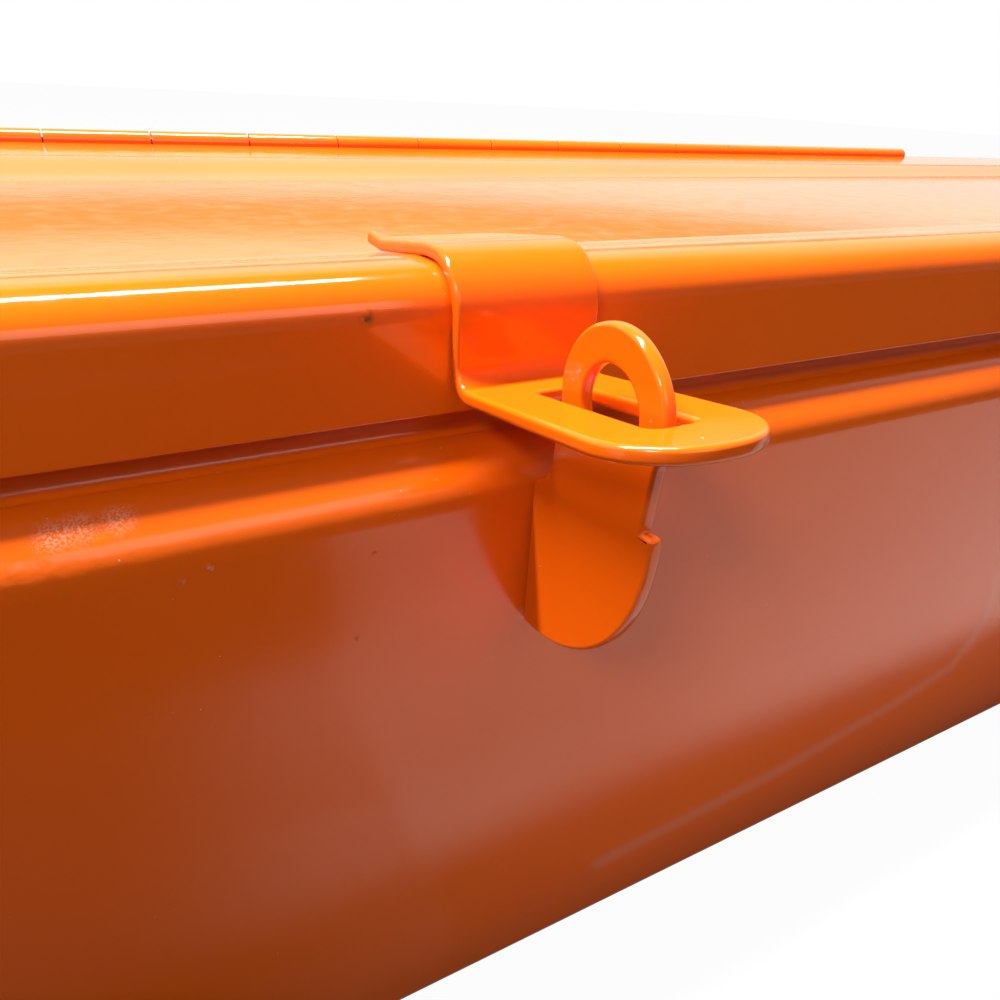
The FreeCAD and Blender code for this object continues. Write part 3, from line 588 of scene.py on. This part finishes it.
def make_hasp(material):
    """Strap bent over the lid's front edge and out into a slotted tongue, from one strip."""
    front = lid_low.y
    top = lid_high.z
    fall = DISH_DEPTH / DISH_SLOPE_WIDTH
    flap_end = front + HASP_FLAP_REACH
    land = front + DISH_LAND
    seat = top + HASP_GAP
    deselect_all()
    bpy.ops.mesh.primitive_plane_add(size=1.0, location=(0, 0, seat))
    hasp = bpy.context.object
    hasp.name = "hasp_strap"
    hasp.scale = (hasp_high.x - hasp_low.x, flap_end - land, 1)
    hasp.location.y = (flap_end + land) / 2
    bpy.ops.object.transform_apply(location=True, rotation=True, scale=True)
    edit(hasp, "VERT")
    pick_corners(hasp, lambda place: close_to(place.y, flap_end))
    bpy.ops.transform.translate(value=(0, 0, (land - flap_end) * fall))
    bpy.ops.mesh.select_mode(type="EDGE")
    pick_edges(hasp, lambda a, b: close_to(a.y, land) and close_to(b.y, land))
    bpy.ops.mesh.extrude_region_move(TRANSFORM_OT_translate={"value": (0, LID_FOLD_RADIUS - DISH_LAND, 0)})
    fold_centre = (front + LID_FOLD_RADIUS, top - LID_FOLD_RADIUS)
    bpy.ops.mesh.spin(steps=HASP_BEND_STEPS, angle=-math.pi / 2, center=(0, *fold_centre), axis=(1, 0, 0))
    drop = (0, 0, LID_FOLD_RADIUS - HASP_BEND_DROP)
    bpy.ops.mesh.extrude_region_move(TRANSFORM_OT_translate={"value": drop})
    bend_centre = (front - HASP_GAP - HASP_SHEET - HASP_BEND_RADIUS, top - HASP_BEND_DROP)
    bend_turn = math.pi / 2 + TONGUE_TILT
    bpy.ops.mesh.spin(steps=HASP_BEND_STEPS, angle=bend_turn, center=(0, *bend_centre), axis=(1, 0, 0))
    run, rise = math.cos(TONGUE_TILT), math.sin(TONGUE_TILT)
    along = (0, -run * TONGUE_LENGTH, rise * TONGUE_LENGTH)
    bpy.ops.mesh.extrude_region_move(TRANSFORM_OT_translate={"value": along})
    tip = min(corner.co.y for corner in bmesh.from_edit_mesh(hasp.data).verts)
    bpy.ops.mesh.select_mode(type="VERT")
    pick_corners(hasp, lambda place: close_to(place.y, tip) and close_to(abs(place.x), hasp_high.x))
    bpy.ops.mesh.bevel(offset=TONGUE_CORNER_RADIUS, segments=TONGUE_CORNER_STEPS, affect="VERTICES")
    bpy.ops.mesh.select_mode(type="FACE")
    for cut, across in (((hasp_low.x + CORNER_LIFT_REACH, 0, 0), (1, 0, 0)),
                        ((0, flap_end - CORNER_LIFT_REACH, 0), (0, 1, 0))):
        pick_faces(hasp, lambda centre, normal: centre.y > land)
        bpy.ops.mesh.bisect(plane_co=cut, plane_no=across)
    bpy.ops.mesh.select_mode(type="VERT")
    pick_corners(hasp, lambda place: close_to(place.y, flap_end) and close_to(place.x, hasp_low.x))
    bpy.ops.transform.translate(value=(-CORNER_LEAN * CORNER_LIFT, 0, CORNER_LIFT))
    thicken(hasp, -HASP_SHEET)
    bend_back = HASP_GAP + HASP_SHEET + HASP_BEND_RADIUS
    slot_rear = front - bend_back - SLOT_START * run
    slot_half = SLOT_WIDTH / 2
    slot_front = slot_rear - SLOT_LENGTH * run
    cutter = add_box("slot", (-slot_half, slot_front, lid_low.z), (slot_half, slot_rear, top))
    edit(cutter)
    pick_edges(cutter, lambda a, b: abs(a.z - b.z) > UPRIGHT_EDGE)
    bpy.ops.mesh.bevel(offset=SLOT_CORNER_RADIUS, segments=SLOT_CORNER_STEPS, affect="EDGES")
    leave_edit()
    carve(hasp, cutter)
    round_cut_edges(hasp, THICK_EDGE_ROUND)
    smooth(hasp)
    finish_piece(hasp, "lid", ["hasp_plate"], material)


def make_staple(material):
    """Padlock staple from one plate: a quarter-round foot on the wall, a neck and a ring."""
    wall = staple_high.y
    left, right = staple_low.x, staple_high.x
    thickness = right - left
    tip = wall - NECK_OUTER_REACH
    heel = wall - NECK_INNER_REACH
    beyond = FOOT_RADIUS
    foot = add_disc("staple", (0, wall, FOOT_CENTRE_HEIGHT), FOOT_RADIUS, 4 * thickness, FOOT_SIDES)
    quarter_low = (-beyond, wall - 2 * FOOT_RADIUS, FOOT_CENTRE_HEIGHT - 2 * FOOT_RADIUS)
    carve(foot, add_box("quarter", quarter_low, (beyond, wall, FOOT_TIP_HEIGHT)), "INTERSECT")
    carve(foot, add_box("notch", (-beyond, tip, FOOT_NOTCH_HEIGHT), (beyond, wall + HASP_SHEET, EYE_HEIGHT)))
    slope_high = (beyond, wall + NECK_INNER_REACH, EYE_HEIGHT)
    slope = add_box("slope", (-beyond, heel, FOOT_NOTCH_HEIGHT), slope_high)
    edit(slope, "VERT")
    pick_corners(slope, lambda place: close_to(place.z, FOOT_NOTCH_HEIGHT) and place.y > wall)
    bpy.ops.transform.translate(value=(0, 0, 2 * (FOOT_WALL_HEIGHT - FOOT_NOTCH_HEIGHT)))
    leave_edit()
    carve(foot, slope)
    eye_y = wall - EYE_REACH
    neck_foot = FOOT_NOTCH_HEIGHT - NECK_OVERLAP
    neck = add_box("neck", (-thickness, tip, neck_foot), (thickness, heel, EYE_HEIGHT))
    edit(neck, "VERT")
    for side, edge in ((-1, tip), (1, heel)):
        pick_corners(neck, lambda place: close_to(place.z, EYE_HEIGHT) and close_to(place.y, edge))
        bpy.ops.transform.translate(value=(0, eye_y + side * (RING_RADIUS - NECK_OVERLAP) - edge, 0))
        bpy.ops.mesh.select_all(action="DESELECT")
    leave_edit()
    carve(foot, neck, "UNION")
    carve(foot, add_disc("ring", (0, eye_y, EYE_HEIGHT), RING_RADIUS, 3 * thickness, RING_SIDES), "UNION")
    plate = add_box("plate", (left, tip - beyond, 0), (right, wall + beyond, 2 * EYE_HEIGHT))
    carve(foot, plate, "INTERSECT")
    join_flats(foot)
    carve(foot, add_disc("eye", (0, eye_y, EYE_HEIGHT), EYE_RADIUS, 3 * thickness, EYE_SIDES))
    round_cut_edges(foot, THICK_EDGE_ROUND)
    smooth(foot)
    finish_piece(foot, "box", ["staple_plate"], material)


def repeat_along(piece, count, step):
    """Joins copies of the piece, each a step further along the box."""
    copies = [piece]
    for index in range(1, count):
        copy = piece.copy()
        copy.data = piece.data.copy()
        copy.location.x = step * index
        bpy.context.scene.collection.objects.link(copy)
        copies.append(copy)
    deselect_all()
    for copy in copies:
        copy.select_set(True)
    bpy.context.view_layer.objects.active = piece
    bpy.ops.object.join()
    bpy.ops.object.transform_apply(location=True, rotation=True, scale=True)


def make_leaf(name, node, body, first_knuckle, upright, material):
    """A hinge leaf with its knuckles rolled round the pin from the leaf's own sheet."""
    leaf_low, leaf_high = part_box(node)
    start = leaf_low.x + first_knuckle * KNUCKLE_PITCH
    length = KNUCKLE_PITCH - KNUCKLE_GAP
    reach = BARREL_RADIUS + BARREL_GAP
    end = start + length
    if upright:
        outside = pin_middle.y + BARREL_RADIUS
        inside = outside - LEAF_SHEET
        strip_end = pin_middle.z - reach
        strip = add_box("strip", (start, inside, strip_end), (end, outside, pin_middle.z))
        plate = add_box(name, (leaf_low.x, inside, leaf_low.z), (leaf_high.x, outside, strip_end))
    else:
        under = pin_middle.z - BARREL_RADIUS
        over = under + LEAF_SHEET
        strip_end = pin_middle.y - reach
        strip = add_box("strip", (start, strip_end, under), (end, pin_middle.y, over))
        plate = add_box(name, (leaf_low.x, leaf_low.y, under), (leaf_high.x, strip_end, over))
    edit(strip, "FACE")
    if upright:
        pick_faces(strip, lambda centre, normal: normal.z > FACING)
    else:
        pick_faces(strip, lambda centre, normal: normal.y > FACING)
    bpy.ops.mesh.spin(steps=ROLL_STEPS, angle=math.radians(ROLL_ANGLE), axis=(1, 0, 0), center=pin_middle)
    bpy.ops.mesh.select_all(action="SELECT")
    bpy.ops.mesh.remove_doubles(threshold=SHEET_MERGE)
    bpy.ops.mesh.normals_make_consistent(inside=False)
    leave_edit()
    round_cut_edges(strip, KNUCKLE_EDGE_ROUND, segments=2)
    repeat_along(strip, KNUCKLE_COUNT // 2, 2 * KNUCKLE_PITCH)
    round_cut_edges(plate, KNUCKLE_EDGE_ROUND, segments=2)
    deselect_all()
    strip.select_set(True)
    plate.select_set(True)
    bpy.context.view_layer.objects.active = plate
    bpy.ops.object.join()
    smooth(plate)
    finish_piece(plate, body, [node], material)


def make_pin(material):
    """The hinge's wire, round and with its ends a little rounded."""
    pin_low, pin_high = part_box("hinge_pin")
    pin = add_disc("pin", pin_middle, PIN_RADIUS, pin_high.x - pin_low.x, PIN_SIDES)
    round_cut_edges(pin, THIN_EDGE_ROUND)
    smooth(pin)
    finish_piece(pin, "box", ["hinge_pin"], material)


def make_bail(side, material):
    """Drop handle bent from round bar, its ends turned in through the ears."""
    bail_low, bail_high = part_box("bail_" + side)
    axis_x = (bail_low.x + bail_high.x) / 2
    half = BAIL_SPAN / 2
    deselect_all()
    bpy.ops.mesh.primitive_circle_add(vertices=BAR_SIDES, radius=BAIL_RADIUS, fill_type="NGON",
                                      location=(axis_x, -BAIL_INNER_END, PIVOT_HEIGHT),
                                      rotation=(math.pi / 2, 0, 0))
    bail = bpy.context.object
    bail.name = "drop_handle_" + side
    bpy.ops.object.transform_apply(location=True, rotation=True, scale=True)
    edit(bail, "FACE")
    bpy.ops.mesh.select_all(action="SELECT")
    bend_y = half - BAIL_BEND_RADIUS
    bend_low = PIVOT_HEIGHT - BAIL_DROP + BAIL_BEND_RADIUS
    bend_high = PIVOT_HEIGHT - BAIL_BEND_RADIUS
    end_run = (0, BAIL_INNER_END - bend_y, 0)
    side_run = bend_high - bend_low
    runs = [end_run, (0, 0, -side_run), (0, 2 * bend_y, 0), (0, 0, side_run), end_run]
    bends = [(-bend_y, bend_high), (-bend_y, bend_low), (bend_y, bend_low), (bend_y, bend_high)]
    for index, run in enumerate(runs):
        bpy.ops.mesh.extrude_region_move(TRANSFORM_OT_translate={"value": run})
        if index < len(bends):
            centre = (axis_x, *bends[index])
            bpy.ops.mesh.spin(steps=BAIL_BEND_STEPS, angle=-math.pi / 2, axis=(1, 0, 0), center=centre)
    bpy.ops.mesh.select_all(action="SELECT")
    bpy.ops.mesh.remove_doubles(threshold=SHEET_MERGE)
    bpy.ops.mesh.normals_make_consistent(inside=False)
    leave_edit()
    round_cut_edges(bail, THIN_EDGE_ROUND)
    smooth(bail)
    finish_piece(bail, side + "_bail", ["bail_" + side], material)


def at(x, y, z):
    """A point of the box given in millimetres."""
    return (x * MM, y * MM, z * MM)


ENAMEL_LID = enamel("enamel_lid", 0.000009, 0.08, chips=[(at(-17.9, -78.1, 106.4), 1.1 * MM)])
ENAMEL_WALL = enamel(
    "enamel_wall", 0.000016, 0.16, specks=0.02,
    rough_patch=(at(-52, -82, 87), 16 * MM),
    # The last spot, at the staple foot's lower inner corner, is a painted reflection; the other spots are
    # dusting
    dust_and_reflection=[(at(-48.5, -81.7, 90.6), 2.2 * MM), (at(-46.2, -81.5, 90.8), 2.4 * MM),
          (at(-43.0, -81.3, 91.0), 2.2 * MM), (at(-0.7, -84, 69.6), 1.3 * MM)],
    nibs=[(at(-36.3, -84, 85.6), 0.6 * MM, 0.15 * MM), (at(-38.9, -84, 84.7), 0.5 * MM, 0.12 * MM),
          (at(-22.0, -84, 72.5), 0.4 * MM, 0.1 * MM), (at(-19.8, -84, 83.1), 0.35 * MM, 0.1 * MM),
          (at(-44.7, -82.1, 90.3), 0.9 * MM, -0.12 * MM)],
    # A pale line low on the front wall: a painted reflection
    line=[at(18.7, -84, 11.6), at(60.3, -84, 14.1), at(93.3, -84, 19.0), at(108.5, -84, 22.5),
          at(114.4, -84, 33.1), at(112.8, -84, 43.6), at(113.5, -84, 60.0)],
    # The bottom edge greyed as a painted reflection of the floor
    floor_reflection_height=0.7 * MM)
ENAMEL_PARTS = enamel("enamel_parts", 0.00001, 0.12)
PIN_STEEL = pin_steel()


def dress_cad_nodes():
    """Gives every remaining CAD piece its finish."""
    for name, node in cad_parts.items():
        node.data.materials.clear()
        node.data.materials.append(PIN_STEEL if name == "hinge_pin" else ENAMEL_PARTS)


def make_world():
    """White for the camera, pale behind the box below a dim ceiling, dim in front of it."""
    world = bpy.data.worlds.new("studio")
    bpy.context.scene.world = world
    world.use_nodes = True
    graph = Graph(world.node_tree)
    direction = graph.add("ShaderNodeTexCoord", output="Generated")
    height = graph.add("ShaderNodeSeparateXYZ", {}, {0: direction}, 2)
    rear = graph.ease(graph.add("ShaderNodeSeparateXYZ", {}, {0: direction}, 1), *REAR)
    strip = graph.ease(height, *STRIP_START) - graph.ease(height, *STRIP_END)
    zenith = graph.ease(height, *ZENITH)
    dome = graph.mix(graph.math("MAXIMUM", strip, zenith), DOME_PALE, DOME_DIM)
    dome = graph.mix(rear, FRONT_DIM, dome)
    camera_ray = graph.add("ShaderNodeLightPath", output="Is Camera Ray")
    shade = graph.mix(camera_ray, dome, WHITE)
    background = graph.add("ShaderNodeBackground", {}, {"Color": shade, "Strength": 1.0})
    graph.add("ShaderNodeOutputWorld", {}, {"Surface": background})


def make_floor():
    """A plain pale floor that keeps a soft shadow of the box and looks white to the camera."""
    deselect_all()
    bpy.ops.mesh.primitive_plane_add(size=FLOOR_SIZE, location=(0, 0, wall_low.z))
    floor = bpy.context.object
    floor.name = "floor"
    material, graph = new_material("floor_white")
    camera_ray = graph.add("ShaderNodeLightPath", output="Is Camera Ray")
    plain = graph.add("ShaderNodeBsdfDiffuse", {}, {"Color": FLOOR_GREY})
    glow = graph.add("ShaderNodeEmission", {}, {"Color": WHITE, "Strength": FLOOR_GLOW})
    both = graph.add("ShaderNodeMixShader", {}, {0: camera_ray * FLOOR_GLOW_SHARE, 1: plain, 2: glow})
    graph.add("ShaderNodeOutputMaterial", {}, {"Surface": both})
    floor.data.materials.append(material)


def add_lamp(name, place, aim, width, height, watts):
    data = bpy.data.lights.new(name, "AREA")
    data.shape = "RECTANGLE"
    data.size = width
    data.size_y = height
    data.energy = watts
    lamp = bpy.data.objects.new(name, data)
    bpy.context.scene.collection.objects.link(lamp)
    lamp.location = place
    lamp.rotation_euler = (Vector(aim) - Vector(place)).to_track_quat("-Z", "Y").to_euler()


def make_dark_cards():
    """Dark cards that the box mirrors, and a dark sheet on the floor that is a painted shadow, seen in the
    box's reflections. The camera sees the plain floor in their place.
    """
    near_card = add_box("near_card", *NEAR_CARD)
    far_card = add_box("far_card", *FAR_CARD)
    shadow_sheet = add_box("shadow_sheet", *SHADOW_SHEET)
    for dark_piece in (near_card, far_card, shadow_sheet):
        material, graph = new_material(dark_piece.name + "_black")
        dull = graph.add("ShaderNodeBsdfDiffuse", {}, {"Color": CARD_AND_SHADOW_BLACK})
        # The sheet is a painted shadow on the floor, turning clear towards its right end
        if dark_piece == shadow_sheet:
            place = graph.add("ShaderNodeTexCoord", output="Object")
            fade = graph.ease(graph.add("ShaderNodeSeparateXYZ", {}, {0: place}), *SHADOW_SHEET_FADE)
            clear = graph.add("ShaderNodeBsdfTransparent")
            dull = graph.add("ShaderNodeMixShader", {}, {0: fade, 1: dull, 2: clear})
        graph.add("ShaderNodeOutputMaterial", {}, {"Surface": dull})
        dark_piece.data.materials.append(material)
        dark_piece.visible_camera = False


def make_camera():
    data = bpy.data.cameras.new("camera")
    data.sensor_width = CAMERA_SENSOR
    data.lens = CAMERA_LENS
    data.clip_start = CAMERA_NEAR
    data.clip_end = CAMERA_FAR
    camera = bpy.data.objects.new("camera", data)
    bpy.context.scene.collection.objects.link(camera)
    camera.location = CAMERA_PLACE
    aim = Euler((math.radians(90 - CAMERA_TILT), 0, math.radians(-CAMERA_HEADING)), "XYZ").to_matrix()
    roll = Euler((0, 0, math.radians(CAMERA_ROLL)), "XYZ").to_matrix()
    camera.rotation_euler = (aim @ roll).to_euler()
    bpy.context.scene.camera = camera


dress_cad_nodes()
make_body(ENAMEL_WALL)
make_lid(ENAMEL_LID)
make_hasp(ENAMEL_PARTS)
make_staple(ENAMEL_PARTS)
make_leaf("lid_leaf", "hinge_lid_leaf", "lid", 0, False, ENAMEL_PARTS)
make_leaf("body_leaf", "hinge_body_leaf", "box", 1, True, ENAMEL_PARTS)
make_pin(PIN_STEEL)
make_bail("right", ENAMEL_PARTS)
make_bail("left", ENAMEL_PARTS)
make_world()
make_floor()
make_dark_cards()
for lamp in LAMPS:
    add_lamp(*lamp)
make_camera()

bpy.context.scene.view_settings.view_transform = "Standard"
